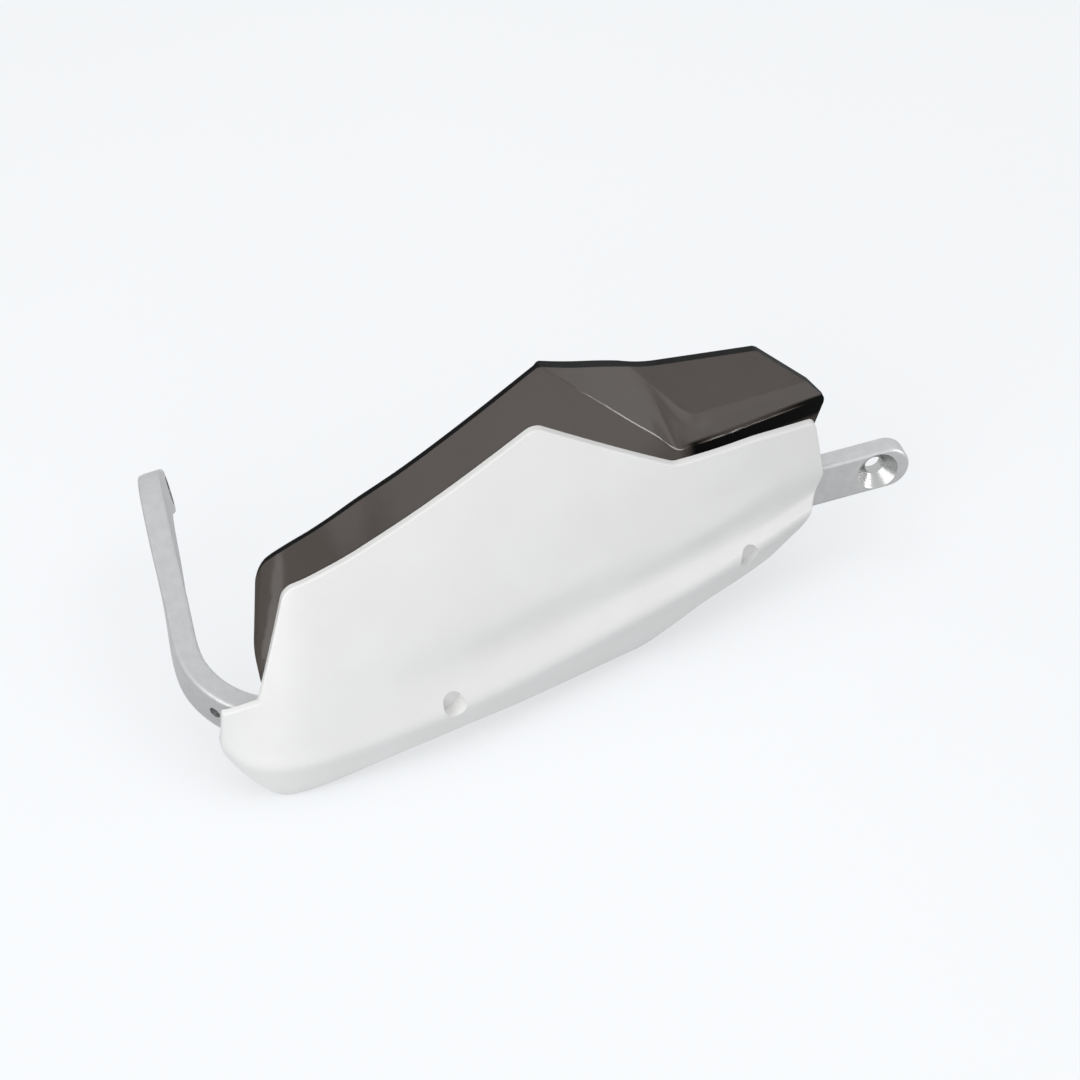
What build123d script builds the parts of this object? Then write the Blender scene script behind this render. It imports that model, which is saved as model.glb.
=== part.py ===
"""Hand guard for a motorcycle handlebar, the one on the rider's right hand.

A flat aluminium bar runs from the bar end, round the front of the hand, to a
clamp eye. A white plastic shell is screwed to its front, and a smoked wind
deflector is held behind the shell.

Frame: the origin is the centre of the bar-end eye on the arm's inner face.
+X runs inboard along the guard, +Y to the rear, +Z up. Sizes are in mm.
"""
import os
from math import cos, pi, radians, sin, sqrt

from build123d import *

# Flat bar: section, hooked rear end, arm and front corner
bar_width = 20.0
bar_thick = 10.0
bar_edge = 1.6
eye_tilt = 11.0
hook_length = 40.0
hook_rise = 35.0
hook_bend = 30.0
arm_fall = 16.8
arm_straight = 82.0
corner_radius = 40.0
corner_turn = 75.5
sweep_radius = 85.0
sweep_turn = 40.0
eye_bore = 8.5
eye_counterbore = 12.5
eye_counterbore_depth = 4.5
accessory_hole = 5.2
accessory_angle = 43.0

# Inner end of the bar, with the countersunk clamp eye
inner_eye = (297.8, -55.5, -4.9)
inner_yaw = 4.8
inner_rise = 4.3
inner_roll = 2.0
inner_straight = 30.0
inner_nose = 4.5
clamp_bore = 8.5
countersink = 18.0
countersink_angle = 90.0
span_start_pull = 120.0
span_end_pull = 90.0

# White shell: the points its ridge runs through, and the form of its face
ridge_points = [
    (-5.2, -146.5, -15.5),
    (19.3, -169.0, -22.5),
    (50.0, -166.5, -20.5),
    (93.3, -155.5, -18.0),
    (163.3, -127.5, -13.0),
    (230.3, -95.5, -8.3),
    (259.3, -77.0, -7.0),
    (279.3, -63.2, -6.5),
    (289.0, -55.5, -6.3),
]
fan_centre = (60.0, -60.0)
shell_wall = 3.0
shell_edge = 0.9
face_lean = 0.231
face_curl = 0.0015
ear_lean = -0.26
ear_length = 28.0
under_lean = 0.29
groove_depth = 3.2
groove_start = 40.0
groove_fade = 120.0
groove_height = 22.0
groove_fall = 0.048

# Smoked deflector: wall, fit behind the shell, and the crease where its roof leans back
deflector_wall = 2.5
crease_round = 1.2
deflector_foot = 12.0
fit_gap = 0.35
kink_place = 0.728
kink_height = 55.6
ridge_climb = 344.0
fold_drop = 60.0
crease_limit = 130.0
panel_corners = [(186.8, -65.0, 77.3), (211.7, -72.6, 51.5), (268.9, -42.6, 38.2)]
panel_reach = 50.0
panel_start = 0.5

# Screws that hold the shell to the bar: place along the span and along the ridge
shell_fixings = {"outer": (0.04, 0.322), "inner": (0.76, 0.777)}
boss_dia = 15.0
recess_dia = 10.0
recess_depth = 4.5
screw_dia = 6.0
screw_clear = 0.5
insert_dia = 8.5
insert_length = 7.0
washer_dia = 14.0
washer_thick = 1.2
head_dia = 10.5
head_height = 3.3
socket_across = 4.0
seat_gap = 0.05

# Pegs and screws that hold the deflector to the shell: place along the ridge and height
peg_places = [(0.144, 50.0), (0.365, 57.0), (0.633, 34.0), (0.86, 27.0)]
peg_dia = 8.0
peg_clear = 0.6
peg_skin = 1.4
pilot_dia = 3.8
small_screw_dia = 3.6
small_washer_dia = 12.0
small_washer_thick = 1.0
small_head_dia = 7.5
small_head_height = 2.4
small_socket = 2.5


def unit(x, y, z):
    """Direction of length one."""
    return Vector(x, y, z).normalized()


def ease(t):
    """Smooth step from 0 to 1."""
    t = min(max(t, 0.0), 1.0)
    return t * t * (3 - 2 * t)


# Rear end of the bar: the eye's axis, and the hook from the eye to the arm
eye_axis = unit(cos(radians(eye_tilt)), 0, sin(radians(eye_tilt)))
eye_up = unit(-sin(radians(eye_tilt)), 0, cos(radians(eye_tilt)))
hook_dir = Vector(0, -1, 0) * cos(radians(hook_rise)) + eye_up * sin(radians(hook_rise))
eye_centre = eye_axis * (-bar_thick / 2)
hook_vertex = eye_centre + hook_dir * hook_length

# The arm and the front corner of the bar lie in one tilted plane
arm_dir = unit(0, -cos(radians(arm_fall)), -sin(radians(arm_fall)))
bend_up = unit(0, -sin(radians(arm_fall)), cos(radians(arm_fall)))
bend_plane = Plane(origin=hook_vertex, x_dir=(1, 0, 0), z_dir=bend_up)

# Inner end: its own direction, width and front, and the centre of its eye
inner_dir = unit(
    cos(radians(inner_rise)) * cos(radians(inner_yaw)),
    cos(radians(inner_rise)) * sin(radians(inner_yaw)),
    sin(radians(inner_rise)),
)
inner_up = unit(0, -sin(radians(inner_roll)), cos(radians(inner_roll)))
inner_front = inner_dir.cross(inner_up).normalized()
inner_centre = Vector(*inner_eye) - inner_front * (bar_thick / 2)
inner_start = inner_centre - inner_dir * inner_straight

# Centre lines of the bar: hook and arm, front corner, front span
with BuildLine() as arm_line:
    FilletPolyline(eye_centre, hook_vertex, hook_vertex + arm_dir * arm_straight, radius=hook_bend)
arm_path = arm_line.wire()
hook_straight = arm_line.edges().sort_by_distance(eye_centre)[0].length
hook_arc = arm_line.edges().filter_by(GeomType.CIRCLE)[0].length
with BuildLine() as corner_line:
    tight_turn = JernArc((0, -arm_straight), (0, -1), corner_radius, corner_turn)
    JernArc(tight_turn @ 1, tight_turn % 1, sweep_radius, sweep_turn)
corner_path = bend_plane.location * corner_line.wire()
span_start = corner_path @ 1
with BuildLine() as span_line:
    Bezier(
        span_start,
        span_start + (corner_path % 1) * (span_start_pull / 3),
        inner_start - inner_dir * (span_end_pull / 3),
        inner_start,
    )
span_path = span_line.wire()


def arm_plane(length):
    """Cross-section of the arm at a length from the eye; it untwists towards the corner."""
    t = length / arm_path.length
    along = arm_path % t
    turned = ease((length - hook_straight - hook_arc) / (arm_path.length - hook_straight - hook_arc))
    inward = eye_axis * (1 - turned) + Vector(1, 0, 0) * turned
    return Plane(origin=arm_path @ t, x_dir=inward - along * inward.dot(along), z_dir=along)


def corner_plane(t):
    """Cross-section of the front corner: x to the inner side, z along the bar."""
    along = corner_path % t
    return Plane(origin=corner_path @ t, x_dir=bend_up.cross(along), z_dir=along)


def span_plane(t):
    """Cross-section of the front span; it turns upright towards the clamp end."""
    along = span_path % t
    up = bend_up * (1 - ease(t)) + inner_up * ease(t)
    return Plane(origin=span_path @ t, x_dir=up.cross(along), z_dir=along)


def bar_section():
    """Flat section of the bar with rounded edges."""
    RectangleRounded(bar_thick, bar_width, bar_edge)


def fixing_plane(t):
    """Plane on the front face of the span, facing forward."""
    plane = span_plane(t)
    return Plane(origin=plane.origin - plane.x_dir * (bar_thick / 2), z_dir=-plane.x_dir)


# Round end of the bar, used at both ends
with BuildPart() as bar_nose:
    Cylinder(bar_width / 2, bar_thick)
    fillet(bar_nose.edges().filter_by(GeomType.CIRCLE), bar_edge)

eye_plane = Plane(origin=(0, 0, 0), x_dir=(0, 1, 0), z_dir=eye_axis)
clamp_plane = Plane(origin=inner_eye, x_dir=inner_dir, z_dir=inner_front)
nose_plane = Plane(origin=inner_centre + inner_dir * inner_nose, x_dir=inner_dir, z_dir=inner_front)
accessory_out = unit(-cos(radians(accessory_angle)), -sin(radians(accessory_angle)), 0)
accessory_spot = Vector(corner_radius, -arm_straight, 0) + accessory_out * (corner_radius + bar_thick / 2)
accessory_plane = Plane(
    origin=bend_plane.from_local_coords(accessory_spot),
    z_dir=bend_plane.from_local_coords(accessory_out) - bend_plane.origin,
)
hook_end = hook_straight + hook_arc
arm_rest = arm_path.length - hook_end
bar_planes = [arm_plane(hook_straight + hook_arc * k / 4) for k in range(5)]
bar_planes += [arm_plane(hook_end + arm_rest * k / 4) for k in range(1, 4)]
bar_planes += [corner_plane(k / 10) for k in range(11)]
bar_planes += [span_plane(k / 6) for k in range(1, 7)]

with BuildPart() as bar:
    # Straight end with the eye, then the arm, the corner and the front span in one run
    with BuildSketch(arm_plane(0)):
        bar_section()
    extrude(amount=hook_straight)
    for plane in bar_planes:
        with BuildSketch(plane):
            bar_section()
    loft()
    # Straight clamp end
    with BuildSketch(span_plane(1)):
        bar_section()
    extrude(amount=inner_straight + inner_nose)
    with Locations(eye_plane.offset(-bar_thick / 2).location, nose_plane.location):
        add(bar_nose.part)
    # Bar-end eye, counterbored from the inside
    with Locations(eye_plane.location):
        CounterBoreHole(eye_bore / 2, eye_counterbore / 2, eye_counterbore_depth, bar_thick)
    # Clamp eye for a countersunk screw from the front
    with Locations(clamp_plane.location):
        CounterSinkHole(clamp_bore / 2, countersink / 2, bar_thick, countersink_angle)
    # Small accessory hole through the corner
    with Locations(accessory_plane.location):
        Hole(accessory_hole / 2, 2 * bar_thick)
    # Clearance holes for the screws that hold the shell
    for name, (along, place) in shell_fixings.items():
        with Locations(fixing_plane(along).location):
            Hole((screw_dia + screw_clear) / 2, 2 * bar_thick)
bar.part.label = "bar"

# Shell: a wall whose front follows the ridge line
peg_depth = shell_wall + deflector_wall
with BuildLine() as ridge_line:
    Spline(*ridge_points)
ridge = ridge_line.wire()


def face_offset(h, s):
    """How far the face stands forward of the ridge at height h, length s from the ear."""
    if h < 0:
        return under_lean * h
    lean = ear_lean + (face_lean - ear_lean) * ease(s / ear_length)
    middle = groove_height - groove_fall * s
    groove = 0.0
    if h < 2 * middle:
        groove = groove_depth * ease((s - groove_start) / groove_fade) * sin(pi * h / (2 * middle)) ** 2
    return -(lean * h + face_curl * h * h) - groove


def ridge_plane(t):
    """Upright plane across the ridge: x forward, y up; they fan out round the outer corner."""
    along = ridge % t
    spot = ridge @ t
    fan = unit(spot.X - fan_centre[0], spot.Y - fan_centre[1], 0)
    across = unit(along.Y, -along.X, 0)
    mix = ease((t - 0.2) / 0.2)
    forward = (fan * (1 - mix) + across * mix).normalized()
    return Plane(origin=spot, x_dir=forward, z_dir=forward.cross(Vector(0, 0, 1)))


def face_slope(t, h):
    """Lean of the face at height h: how far it goes forward for each mm up."""
    s = t * ridge.length
    return face_offset(h + 0.5, s) - face_offset(h - 0.5, s)


def face_point(t, h, depth):
    """Point of the section at height h, set in from the face by a depth."""
    slope = face_slope(t, h)
    size = sqrt(1 + slope * slope)
    return (face_offset(h, t * ridge.length) - depth / size, h + depth * slope / size)


def face_plane(t, h, depth):
    """Plane on the face at a depth, facing out."""
    plane = ridge_plane(t)
    x, y = face_point(t, h, depth)
    out = plane.x_dir - plane.y_dir * face_slope(t, h)
    return Plane(origin=plane.from_local_coords((x, y, 0)), z_dir=out)


def wall_section(t, heights, outer, inner):
    """Closed section of a wall between two depths behind the face."""
    with BuildSketch(ridge_plane(t)) as section:
        with BuildLine():
            front = Spline(*[face_point(t, h, outer) for h in heights])
            back = Spline(*[face_point(t, h, inner) for h in heights])
            Line(front @ 0, back @ 0)
            Line(front @ 1, back @ 1)
        make_face()
    return section.sketch


def solid_section(t, heights, outer, back):
    """Closed section of everything behind the face, from one depth to a flat back."""
    with BuildSketch(ridge_plane(t)) as section:
        with BuildLine():
            front = Spline(*[face_point(t, h, outer) for h in heights])
            Polyline(front @ 0, (-back, heights[0]), (-back, heights[-1]), front @ 1)
        make_face()
    return section.sketch


def boss(along, place):
    """Post from the bar's front face to the shell's wall."""
    with BuildPart() as post:
        with BuildSketch(fixing_plane(along).offset(fit_gap)):
            Circle(boss_dia / 2)
        extrude(amount=60)
        places = (place - 0.06, place, place + 0.06)
        behind = [solid_section(t, shell_heights[:10], shell_wall / 2, 45) for t in places]
        loft(behind, mode=Mode.INTERSECT)
    return post.part


def outline_sketch(outline):
    """Outline seen from the front, each corner rounded by its own radius."""
    with BuildSketch(Plane.XZ) as flat:
        with BuildLine():
            Polyline(*[point for point, radius in outline], close=True)
        make_face()
        for point, radius in outline:
            fillet(flat.vertices().sort_by_distance(Vector(*point))[0], radius)
    return flat.sketch


front_reach = abs(min(point[1] for point in ridge_points)) + bar_width
face_middle = max(point[2] for point in ridge_points) + groove_height
shell_stations = [0, 0.03, 0.06, 0.09, 0.12, 0.16, 0.2, 0.25, 0.3, 0.35, 0.4, 0.46]
shell_stations += [0.54, 0.63, 0.72, 0.8, 0.87, 0.93, 1]
shell_heights = [-24, -14, -6, 0, 5, 12, 19, 26, 34, 43, 55, 70, 88, 105]
shell_outline = [
    ((29.2, 49.2), 8),
    ((60.0, 55.2), 150),
    ((141.5, 76.9), 10),
    ((200.5, 42.2), 10),
    ((238.0, 35.8), 100),
    ((269.5, 27.8), 4),
    ((271.5, 4.0), 6),
    ((259.0, -14.0), 8),
    ((243.0, -21.0), 20),
    ((210.0, -24.4), 40),
    ((182.0, -33.6), 25),
    ((98.0, -30.4), 200),
    ((70.0, -32.8), 150),
    ((19.0, -40.5), 14),
    ((-2.2, -23.5), 8),
    ((-0.7, 0.5), 1.5),
    ((13.8, 5.3), 2),
]


with BuildPart() as shell:
    loft([wall_section(t, shell_heights, 0, shell_wall) for t in shell_stations])
    extrude(outline_sketch(shell_outline), amount=front_reach, both=True, mode=Mode.INTERSECT)
    front = shell.faces().sort_by_distance(face_plane(0.5, face_middle, 0).origin)[0]
    fillet(front.outer_wire().edges(), shell_edge)
    # Bosses to the bar, each with a pocket for its insert and a round recess in front
    for along, place in shell_fixings.values():
        add(boss(along, place))
        seat = fixing_plane(along)
        reach = (ridge @ place - seat.origin).dot(seat.z_dir)
        with BuildSketch(seat):
            Circle(insert_dia / 2 + seat_gap)
        extrude(amount=fit_gap + insert_length + screw_clear, mode=Mode.SUBTRACT)
        with BuildSketch(seat.offset(reach - recess_depth)):
            Circle(recess_dia / 2)
        extrude(amount=30, mode=Mode.SUBTRACT)
    # Pegs that pass through the deflector
    for t, h in peg_places:
        with BuildSketch(face_plane(t, h, peg_depth)):
            Circle(peg_dia / 2)
        extrude(amount=peg_depth - shell_wall / 2)
        with BuildSketch(face_plane(t, h, peg_depth)):
            Circle(pilot_dia / 2)
        extrude(amount=peg_depth - peg_skin, mode=Mode.SUBTRACT)
shell.part.label = "impact_shell"

# Deflector: a wall behind the shell that folds back into a roof above a crease
deflector_front = shell_wall + fit_gap
deflector_back = deflector_front + deflector_wall


def crease_height(t):
    """Height of the crease above the ridge line; it kinks between its rising and falling sides."""
    if t < kink_place:
        return min(crease_limit, kink_height + ridge_climb * (kink_place - t))
    return kink_height - fold_drop * (t - kink_place)


def out_of(start, stop):
    """Outward direction of a line in the section that runs up."""
    along = (stop - start).normalized()
    return Vector(along.Y, -along.X)


def mitre(first, second):
    """Offset of a corner between two lines, for a wall of thickness one."""
    return (first + second) * (1 / (1 + first.dot(second)))


def fold_points(t):
    """Crease, soft fold and free end of the roof on the front of the section."""
    crease = Vector(*face_point(t, crease_height(t), deflector_front))
    if t < panel_start:
        near, fold, end = fold_points(panel_start)
        return crease, crease + fold - near, crease + end - near
    plane = ridge_plane(t)
    outer, middle, inner = [Vector(*corner) for corner in panel_corners]
    panel_out = (inner - middle).cross(outer - middle)
    other = inner if plane.to_local_coords(middle).Z > 0 else outer
    near = plane.to_local_coords(middle)
    far = plane.to_local_coords(other)
    fold = near + (far - near) * (near.Z / (near.Z - far.Z))
    rise = plane.z_dir.cross(panel_out).normalized()
    fold = Vector(fold.X, fold.Y)
    return crease, fold, fold + Vector(rise.dot(plane.x_dir), rise.dot(plane.y_dir)) * panel_reach


def deflector_section(t):
    """Closed section of the deflector: wall, crease, and a roof with a soft fold."""
    rise = crease_height(t) - deflector_foot
    steps = [deflector_foot + rise * k / 9 for k in range(9)]
    crease, fold, end = fold_points(t)
    wall_out = Vector(1, -face_slope(t, crease_height(t))).normalized()
    band_out = out_of(crease, fold)
    panel_out = out_of(fold, end)
    crease_back = crease - mitre(wall_out, band_out) * deflector_wall
    fold_back = fold - mitre(band_out, panel_out) * deflector_wall
    with BuildSketch(ridge_plane(t)) as section:
        with BuildLine():
            front = Spline(*[face_point(t, h, deflector_front) for h in steps], crease)
            Polyline(crease, fold, end, end - panel_out * deflector_wall, fold_back, crease_back)
            back = Spline(*[face_point(t, h, deflector_back) for h in steps], crease_back)
            Line(front @ 0, back @ 0)
        make_face()
    return section.sketch


deflector_stations = [0.05, 0.07, 0.09, 0.12, 0.16, 0.2, 0.25, 0.3, 0.35, 0.4, 0.45, 0.5, 0.55, 0.6]
deflector_stations += [0.64, 0.68, 0.71, 0.728, 0.746, 0.763, 0.78, 0.8, 0.82, 0.84, 0.87, 0.9]
deflector_stations += [0.93, 0.96, 0.99]
deflector_outline = [
    ((16.3, 10.5), 2),
    ((15.0, 24.0), 40),
    ((19.6, 56.4), 11),
    ((36.0, 64.4), 40),
    ((80.0, 76.2), 200),
    ((147.0, 95.2), 4),
    ((193.0, 73.3), 120),
    ((248.4, 56.0), 8),
    ((277.0, 31.8), 2),
    ((266.0, 21.0), 4),
    ((262.0, 10.0), 4),
]

crease_place = (kink_place + panel_start) / 2
crease_spot = face_plane(crease_place, crease_height(crease_place), deflector_front).origin

with BuildPart() as deflector:
    loft([deflector_section(t) for t in deflector_stations])
    crease_edge = deflector.edges().sort_by_distance(crease_spot)[0]
    fillet(crease_edge, crease_round)
    extrude(outline_sketch(deflector_outline), amount=front_reach, both=True, mode=Mode.INTERSECT)
    for t, h in peg_places:
        with BuildSketch(face_plane(t, h, deflector_back)):
            Circle((peg_dia + peg_clear) / 2)
        extrude(amount=3 * deflector_wall, both=True, mode=Mode.SUBTRACT)
        with BuildSketch(face_plane(t, h, deflector_back)):
            Circle((small_washer_dia + peg_clear) / 2)
        extrude(amount=-deflector_wall, mode=Mode.SUBTRACT)
deflector.part.label = "wind_deflector"


def socket_screw(seat, shank, length, head, height, socket):
    """Round-headed screw; the seat plane faces along the shank."""
    with BuildPart() as screw:
        with BuildSketch(seat):
            Circle(head / 2)
        extrude(amount=-height)
        fillet(screw.faces().sort_by(Axis(seat.origin, seat.z_dir))[0].edges(), height / 2)
        with BuildSketch(seat.offset(-height)):
            RegularPolygon(socket / 2, 6, major_radius=False)
        extrude(amount=height * 0.6, mode=Mode.SUBTRACT)
        with BuildSketch(seat):
            Circle(shank / 2)
        extrude(amount=length)
    return screw.part


def ring(seat, outer, inner, thick):
    """Flat ring standing on a plane."""
    with BuildPart() as flat:
        with BuildSketch(seat):
            Circle(outer / 2)
            Circle(inner / 2, mode=Mode.SUBTRACT)
        extrude(amount=thick)
    return flat.part


pieces = {"bar": bar.part, "impact_shell": shell.part, "wind_deflector": deflector.part}
for name, (along, place) in shell_fixings.items():
    seat = fixing_plane(along)
    rear = -bar_thick - seat_gap - washer_thick
    pieces["shell_insert_" + name] = ring(seat.offset(fit_gap), insert_dia, screw_dia + 0.2, insert_length)
    pieces["shell_washer_" + name] = ring(seat.offset(rear), washer_dia, screw_dia + 0.4, washer_thick)
    length = insert_length - rear
    pieces["shell_screw_" + name] = socket_screw(
        seat.offset(rear - seat_gap), screw_dia, length, head_dia, head_height, socket_across
    )
for number, (t, h) in enumerate(peg_places, 1):
    behind = deflector_back + seat_gap + small_washer_thick
    seat = face_plane(t, h, behind)
    pieces["deflector_washer_%d" % number] = ring(
        seat, small_washer_dia, small_screw_dia + 0.4, small_washer_thick
    )
    length = behind - peg_skin - 0.5
    pieces["deflector_screw_%d" % number] = socket_screw(
        seat.offset(-seat_gap), small_screw_dia, length, small_head_dia, small_head_height, small_socket
    )

os.makedirs("parts", exist_ok=True)
for name, piece in pieces.items():
    piece.label = name
    export_step(piece, "parts/" + name + ".step")
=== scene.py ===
import math

import bpy
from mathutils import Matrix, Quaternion, Vector


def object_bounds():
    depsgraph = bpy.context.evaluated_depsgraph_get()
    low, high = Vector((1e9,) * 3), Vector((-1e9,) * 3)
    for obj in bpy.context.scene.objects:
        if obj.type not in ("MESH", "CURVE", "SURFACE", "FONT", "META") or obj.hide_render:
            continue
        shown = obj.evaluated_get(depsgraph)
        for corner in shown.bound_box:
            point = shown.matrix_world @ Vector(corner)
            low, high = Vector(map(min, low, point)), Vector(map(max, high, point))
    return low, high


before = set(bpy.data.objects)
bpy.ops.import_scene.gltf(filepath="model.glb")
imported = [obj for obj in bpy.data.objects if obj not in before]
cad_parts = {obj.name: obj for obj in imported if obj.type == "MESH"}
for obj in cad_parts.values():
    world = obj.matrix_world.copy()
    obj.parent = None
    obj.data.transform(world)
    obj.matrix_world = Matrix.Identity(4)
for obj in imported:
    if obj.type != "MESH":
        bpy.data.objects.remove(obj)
cad_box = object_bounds()
bpy.ops.object.select_all(action="DESELECT")


# Bar: one length of flat aluminium bar, 20 by 10 mm, bent and twisted cold, then tumbled
# to a satin grey. The two eyes are machined after that, so their walls are smoother, and
# the clamp eye shows fine turning rings. Both eyes are also toned darker, as painted shade
# in the countersink and the hole.
def new_material(name):
    """Material with its nodes, its links and its main shader."""
    material = bpy.data.materials.new(name)
    material.use_nodes = True
    tree = material.node_tree
    return material, tree.nodes, tree.links, tree.nodes["Principled BSDF"]


def speckle(nodes, links, size, detail=3.0):
    """Fine noise on the piece's own coordinates; size is the grain in metres."""
    place = nodes.new("ShaderNodeTexCoord")
    noise = nodes.new("ShaderNodeTexNoise")
    noise.inputs["Scale"].default_value = 1.0 / size
    noise.inputs["Detail"].default_value = detail
    links.new(place.outputs["Object"], noise.inputs["Vector"])
    return noise.outputs["Fac"]


noise_low = 0.3
noise_high = 0.7


def spread(nodes, links, value, low, high):
    """Stretches a noise value over a range."""
    span = nodes.new("ShaderNodeMapRange")
    span.inputs["From Min"].default_value = noise_low
    span.inputs["From Max"].default_value = noise_high
    span.inputs["To Min"].default_value = low
    span.inputs["To Max"].default_value = high
    links.new(value, span.inputs["Value"])
    return span.outputs["Result"]


def shade(nodes, links, value, dark, pale):
    """Colour that runs from one tone to another with a noise value."""
    ramp = nodes.new("ShaderNodeValToRGB")
    first, last = ramp.color_ramp.elements
    first.position = noise_low
    first.color = (*dark, 1)
    last.position = noise_high
    last.color = (*pale, 1)
    links.new(value, ramp.inputs["Fac"])
    return ramp.outputs["Color"]


def grain(nodes, links, value, height, strength):
    """Bump from a value; height in metres."""
    bump = nodes.new("ShaderNodeBump")
    bump.inputs["Strength"].default_value = strength
    bump.inputs["Distance"].default_value = height
    links.new(value, bump.inputs["Height"])
    return bump.outputs["Normal"]


def calc(nodes, links, operation, first, second):
    """One step of arithmetic."""
    step = nodes.new("ShaderNodeMath")
    step.operation = operation
    for socket, value in zip(step.inputs, (first, second)):
        if isinstance(value, float):
            socket.default_value = value
        else:
            links.new(value, socket)
    return step.outputs["Value"]


def mix_tones(nodes, links, share):
    """Colour mix by a share; gives its two inputs and its result."""
    mix = nodes.new("ShaderNodeMix")
    mix.data_type = "RGBA"
    links.new(share, mix.inputs["Factor"])
    return mix.inputs["A"], mix.inputs["B"], mix.outputs["Result"]


def axis_distance(nodes, links, point, axis):
    """Distance from the straight line through a point along an axis."""
    place = nodes.new("ShaderNodeTexCoord")
    offset = nodes.new("ShaderNodeVectorMath")
    offset.operation = "SUBTRACT"
    offset.inputs[1].default_value = point
    links.new(place.outputs["Object"], offset.inputs[0])
    cross = nodes.new("ShaderNodeVectorMath")
    cross.operation = "CROSS_PRODUCT"
    cross.inputs[1].default_value = axis
    links.new(offset.outputs["Vector"], cross.inputs[0])
    length = nodes.new("ShaderNodeVectorMath")
    length.operation = "LENGTH"
    links.new(cross.outputs["Vector"], length.inputs[0])
    return length.outputs["Value"]


def dress(node, material):
    """Gives a node its material."""
    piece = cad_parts[node]
    piece.data.materials.clear()
    piece.data.materials.append(material)


clamp_eye_middle = (0.2978, -0.0555, -0.0049)
clamp_eye_axis = (0.0862, -0.9957, -0.0348)
clamp_eye_reach = 0.00905
end_eye_middle = (0.0, 0.0, 0.0)
end_eye_axis = (0.9816, 0.0, 0.1908)
end_eye_reach = 0.0064
alloy_dark = (0.58, 0.58, 0.575)
alloy_pale = (0.63, 0.63, 0.625)
# Darker grey of both eyes: painted shade in the countersink and the hole.
eye_painted_shade_tone = (0.50, 0.50, 0.49, 1)
machined_gloss = -0.2
ring_rate = 16000.0
bar_alloy, nodes, links, bsdf = new_material("satin_alloy")
clamp_radius = axis_distance(nodes, links, clamp_eye_middle, clamp_eye_axis)
end_radius = axis_distance(nodes, links, end_eye_middle, end_eye_axis)
in_clamp = calc(nodes, links, "LESS_THAN", clamp_radius, clamp_eye_reach)
in_end = calc(nodes, links, "LESS_THAN", end_radius, end_eye_reach)
machined_and_shaded = calc(nodes, links, "MAXIMUM", in_clamp, in_end)
satin = spread(nodes, links, speckle(nodes, links, 0.0012), 0.42, 0.52)
smoother = calc(nodes, links, "MULTIPLY", machined_and_shaded, machined_gloss)
links.new(calc(nodes, links, "ADD", satin, smoother), bsdf.inputs["Roughness"])
alloy = shade(nodes, links, speckle(nodes, links, 0.004), alloy_dark, alloy_pale)
# Mixes in the eyes' painted shade.
plain, painted_shade_input, tone = mix_tones(nodes, links, machined_and_shaded)
links.new(alloy, plain)
painted_shade_input.default_value = eye_painted_shade_tone
links.new(tone, bsdf.inputs["Base Color"])
rings = nodes.new("ShaderNodeMath")
rings.operation = "SINE"
links.new(calc(nodes, links, "MULTIPLY", clamp_radius, ring_rate), rings.inputs[0])
turned = calc(nodes, links, "MULTIPLY", rings.outputs["Value"], in_clamp)
surface = calc(nodes, links, "ADD", turned, speckle(nodes, links, 0.0005))
links.new(grain(nodes, links, surface, 0.00002, 0.5), bsdf.inputs["Normal"])
bsdf.inputs["Metallic"].default_value = 1.0
dress("bar", bar_alloy)

# Impact shell: moulded in white plastic, 3 mm thick, with a fine satin texture from the
# mould. Screwed to the bar's front from behind.
white_dark = (0.79, 0.79, 0.78)
white_pale = (0.82, 0.82, 0.815)
shell_white, nodes, links, bsdf = new_material("satin_white_plastic")
white = shade(nodes, links, speckle(nodes, links, 0.03, 2.0), white_dark, white_pale)
links.new(white, bsdf.inputs["Base Color"])
links.new(spread(nodes, links, speckle(nodes, links, 0.002), 0.36, 0.44), bsdf.inputs["Roughness"])
links.new(grain(nodes, links, speckle(nodes, links, 0.0006), 0.00003, 0.25), bsdf.inputs["Normal"])
bsdf.inputs["IOR"].default_value = 1.48
dress("impact_shell", shell_white)


# Wind deflector: clear plastic smoked brown-grey, 2.5 mm thick, moulded glossy, and held
# on the shell's pegs. Its cut edges and the tight fold towards the inner end carry painted
# shade: they are toned black by place here, and set metallic so that they reflect nothing pale.
def fade(nodes, links, value, full, none):
    """One below the first limit, nought above the second."""
    span = nodes.new("ShaderNodeMapRange")
    span.interpolation_type = "SMOOTHSTEP"
    span.inputs["From Min"].default_value = full
    span.inputs["From Max"].default_value = none
    span.inputs["To Min"].default_value = 1.0
    span.inputs["To Max"].default_value = 0.0
    links.new(value, span.inputs["Value"])
    return span.outputs["Result"]


smoke_dark = (0.054, 0.040, 0.032)
smoke_pale = (0.062, 0.047, 0.038)
# Black of the painted shade on the cut edges and along the fold.
painted_shade_tone = (0.002, 0.002, 0.002, 1)
edge_dullness = 0.35
edge_facing = 0.2
clearness = 0.95
fold_start = (0.2040, -0.0864, 0.0450)
fold_stop = (0.2746, -0.0480, 0.0330)
fold_axis = (Vector(fold_stop) - Vector(fold_start)).normalized()
fold_fade_stop = 0.2120
deflector_smoke, nodes, links, bsdf = new_material("smoked_clear_plastic")
place = nodes.new("ShaderNodeTexCoord")
side = nodes.new("ShaderNodeSeparateXYZ")
links.new(place.outputs["Normal"], side.inputs["Vector"])
facing = nodes.new("ShaderNodeMath")
facing.operation = "ABSOLUTE"
links.new(side.outputs["Y"], facing.inputs[0])
edge = calc(nodes, links, "LESS_THAN", facing.outputs["Value"], edge_facing)
from_fold = axis_distance(nodes, links, fold_start, fold_axis)
spot = nodes.new("ShaderNodeSeparateXYZ")
links.new(place.outputs["Object"], spot.inputs["Vector"])
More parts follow.
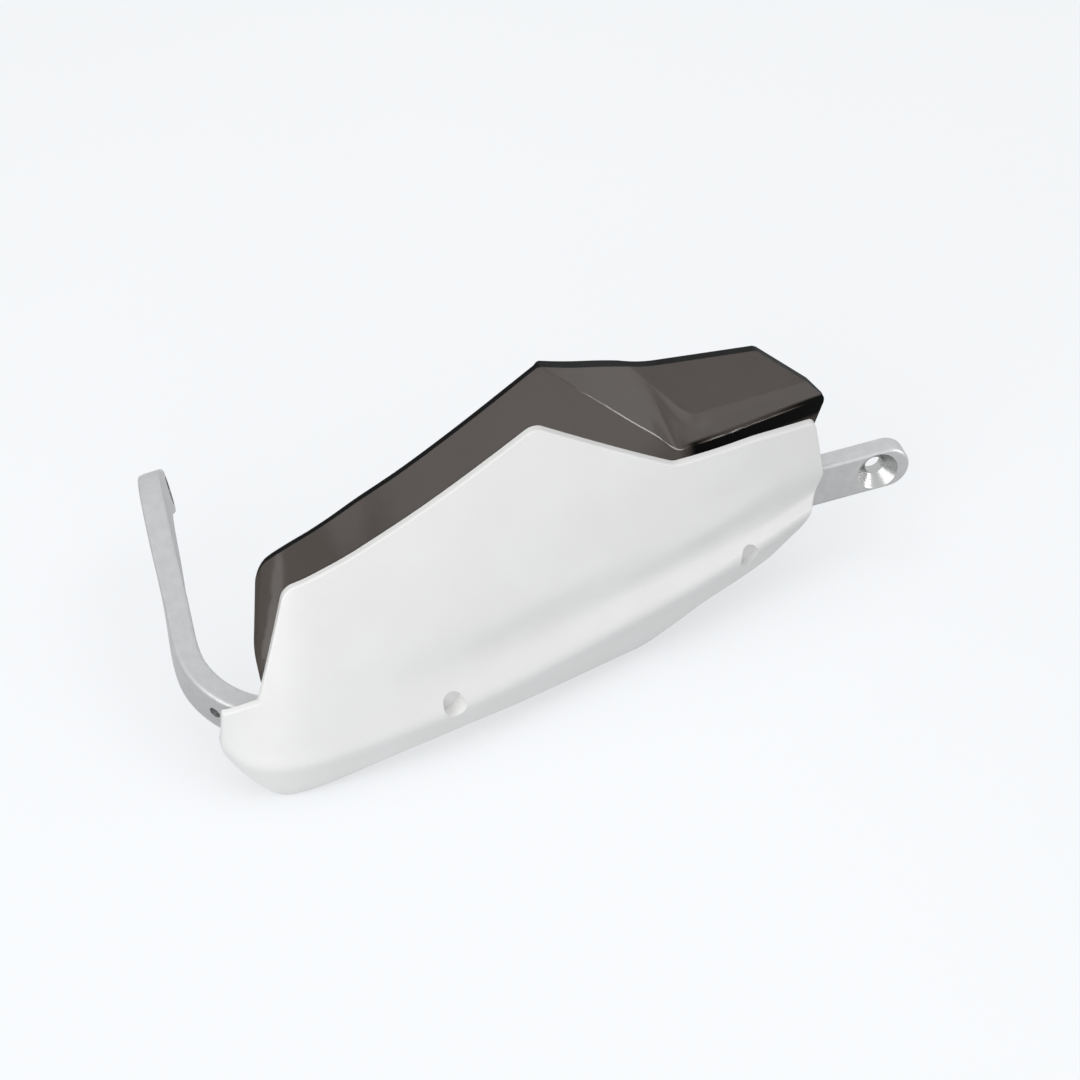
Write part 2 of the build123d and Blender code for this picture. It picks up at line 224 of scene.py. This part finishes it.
before_fold = fade(nodes, links, spot.outputs["X"], fold_start[0], fold_fade_stop)
along_fold = calc(nodes, links, "SUBTRACT", 1.0, before_fold)
upright = fade(nodes, links, side.outputs["Z"], 0.50, 0.62)
near_fold = fade(nodes, links, from_fold, 0.0050, 0.0090)
on_fold = fade(nodes, links, from_fold, 0.0006, 0.0018)
under_fold = calc(nodes, links, "MULTIPLY", upright, near_fold)
fold_painted_shade = calc(nodes, links, "MAXIMUM", under_fold, on_fold)
fold_painted_shade = calc(nodes, links, "MULTIPLY", fold_painted_shade, along_fold)
# Mask of the painted shade: the cut edges and the fold, which are also made metallic.
dark = calc(nodes, links, "MAXIMUM", edge, fold_painted_shade)
smoke = shade(nodes, links, speckle(nodes, links, 0.05, 1.0), smoke_dark, smoke_pale)
plain, painted_shade_input, tone = mix_tones(nodes, links, dark)
links.new(smoke, plain)
painted_shade_input.default_value = painted_shade_tone
links.new(tone, bsdf.inputs["Base Color"])
gloss = spread(nodes, links, speckle(nodes, links, 0.01), 0.10, 0.14)
dull = calc(nodes, links, "MULTIPLY", dark, edge_dullness)
links.new(calc(nodes, links, "ADD", gloss, dull), bsdf.inputs["Roughness"])
links.new(grain(nodes, links, speckle(nodes, links, 0.02, 1.0), 0.0001, 0.1), bsdf.inputs["Normal"])
clear = calc(nodes, links, "SUBTRACT", 1.0, dark)
links.new(calc(nodes, links, "MULTIPLY", clear, clearness), bsdf.inputs["Transmission Weight"])
links.new(dark, bsdf.inputs["Metallic"])
bsdf.inputs["IOR"].default_value = 1.5
bsdf.inputs["Specular IOR Level"].default_value = 0.3
dress("wind_deflector", deflector_smoke)


# Inserts: two threaded sleeves of turned brass, pressed into the shell's bosses from
# behind. They take the screws that come through the bar, and are hidden once fitted.
def plain_metal(name, tone_grain, dark, pale, rough_grain, smooth, rough):
    """Bare metal with a slight change of tone and gloss."""
    material, nodes, links, bsdf = new_material(name)
    tone = shade(nodes, links, speckle(nodes, links, tone_grain), dark, pale)
    links.new(tone, bsdf.inputs["Base Color"])
    gloss = spread(nodes, links, speckle(nodes, links, rough_grain), smooth, rough)
    links.new(gloss, bsdf.inputs["Roughness"])
    bsdf.inputs["Metallic"].default_value = 1.0
    return material


brass_dark = (0.62, 0.43, 0.17)
brass_pale = (0.74, 0.54, 0.24)
insert_brass = plain_metal("turned_brass", 0.002, brass_dark, brass_pale, 0.001, 0.25, 0.4)
for end in ("outer", "inner"):
    dress("shell_insert_" + end, insert_brass)

# Screws and washers: zinc-plated steel, on the rear side only. Two larger ones go through
# the bar into the inserts, and four small ones hold the deflector on the shell's pegs.
zinc_dark = (0.46, 0.47, 0.48)
zinc_pale = (0.6, 0.6, 0.59)
zinc = plain_metal("zinc_plated_steel", 0.0015, zinc_dark, zinc_pale, 0.0008, 0.28, 0.42)
for end in ("outer", "inner"):
    dress("shell_washer_" + end, zinc)
    dress("shell_screw_" + end, zinc)
for number in range(1, 5):
    dress("deflector_washer_%d" % number, zinc)
    dress("deflector_screw_%d" % number, zinc)


# Studio: a pale floor just under the guard, and a pale surround. Both look brighter when
# they are seen than as a source of light, and the floor keeps its shadow.
def seen_by(nodes, links, *rays):
    """One for rays of these kinds, nought for others."""
    path = nodes.new("ShaderNodeLightPath")
    share = path.outputs[rays[0]]
    for ray in rays[1:]:
        share = calc(nodes, links, "MAXIMUM", share, path.outputs[ray])
    return share


studio_white = (0.930, 0.947, 0.965, 1)
floor_gap = 0.0005
floor_size = 12
floor_grain = 0.4
floor_glow = 0.66
unseen_dark = (0.72, 0.735, 0.75)
unseen_pale = (0.73, 0.745, 0.76)
seen_dark = (0.31, 0.317, 0.324)
seen_pale = (0.32, 0.327, 0.334)
floor_height = cad_box[0].z - floor_gap
bpy.ops.mesh.primitive_plane_add(size=floor_size, location=(0.15, 0.5, floor_height))
floor = bpy.context.object
floor.name = "floor"
floor_paint, nodes, links, bsdf = new_material("pale_floor")
seen_floor = seen_by(nodes, links, "Is Camera Ray", "Is Transmission Ray")
unseen_tone = shade(nodes, links, speckle(nodes, links, floor_grain), unseen_dark, unseen_pale)
seen_tone = shade(nodes, links, speckle(nodes, links, floor_grain), seen_dark, seen_pale)
unseen, seen, tone = mix_tones(nodes, links, seen_floor)
links.new(unseen_tone, unseen)
links.new(seen_tone, seen)
links.new(tone, bsdf.inputs["Base Color"])
bsdf.inputs["Roughness"].default_value = 0.9
bsdf.inputs["Specular IOR Level"].default_value = 0.0
bsdf.inputs["Emission Color"].default_value = studio_white
links.new(calc(nodes, links, "MULTIPLY", seen_floor, floor_glow), bsdf.inputs["Emission Strength"])
floor.data.materials.append(floor_paint)

world = bpy.data.worlds.new("studio")
bpy.context.scene.world = world
world.use_nodes = True
nodes, links = world.node_tree.nodes, world.node_tree.links
sky = nodes["Background"]
sky.inputs["Color"].default_value = (1, 1, 1, 1)
sky.inputs["Strength"].default_value = 0.5
surround = nodes.new("ShaderNodeBackground")
surround.inputs["Color"].default_value = studio_white
surround.inputs["Strength"].default_value = 1.0
direct = seen_by(nodes, links, "Is Camera Ray", "Is Glossy Ray", "Is Transmission Ray")
blend = nodes.new("ShaderNodeMixShader")
links.new(direct, blend.inputs["Fac"])
links.new(sky.outputs["Background"], blend.inputs[1])
links.new(surround.outputs["Background"], blend.inputs[2])
links.new(blend.outputs["Shader"], nodes["World Output"].inputs["Surface"])


# Lamps: one soft lamp above, kept out of reflections so that the metal stays grey, and one
# in front. The cards at the right show only as reflections in the deflector and the metal.
def soft_lamp(name, place, aim, width, height, power):
    """Large flat lamp that points at a spot."""
    lamp = bpy.data.lights.new(name, "AREA")
    lamp.shape = "RECTANGLE"
    lamp.size = width
    lamp.size_y = height
    lamp.energy = power
    holder = bpy.data.objects.new(name, lamp)
    bpy.context.scene.collection.objects.link(holder)
    holder.location = place
    holder.rotation_euler = (Vector(aim) - Vector(place)).to_track_quat("-Z", "Y").to_euler()
    return holder


guard_middle = (0.15, -0.08, 0.02)
top_lamp = soft_lamp("top", (0.1, -0.15, 1.4), guard_middle, 2.2, 2.2, 13.6)
top_lamp.visible_glossy = False
soft_lamp("front", (-0.8, -1.3, 0.7), guard_middle, 1.5, 1.5, 11.6)
for name, place, aim, width, height, power in (
    ("card_fold", (1.181, 0.147, 0.762), (0.245, -0.06, 0.04), 0.40, 0.26, 0.12),
    ("card_kink", (1.205, -0.199, 0.715), (0.21, -0.077, 0.05), 0.42, 0.20, 0.12),
    ("card_band", (1.306, 0.028, 0.474), (0.18, -0.08, 0.073), 0.34, 0.28, 0.18),
    ("card_wall", (0.941, -0.950, 0.283), (0.12, -0.10, 0.075), 0.56, 0.36, 0.38),
    ("card_ridge", (1.289, -0.480, 0.345), (0.19, -0.08, 0.065), 0.42, 0.26, 2.7),
):
    card = soft_lamp(name, place, aim, width, height, power)
    card.visible_diffuse = False

# Camera: stands where the picture was taken from, with the same long lens and small roll.
camera_data = bpy.data.cameras.new("camera")
camera = bpy.data.objects.new("camera", camera_data)
bpy.context.scene.collection.objects.link(camera)
bpy.context.scene.camera = camera
camera_data.lens = 150.0
camera_data.sensor_width = 36.0
camera_data.clip_start = 0.05
eye_point = Vector((-0.1235, -1.5583, 1.1318))
aim_point = Vector((0.1425, -0.0955, 0.0165))
camera.location = eye_point
camera_roll = Quaternion((0, 0, 1), math.radians(-2.43))
camera.rotation_euler = ((aim_point - eye_point).to_track_quat("-Z", "Y") @ camera_roll).to_euler()

scene = bpy.context.scene
scene.view_settings.view_transform = "Standard"
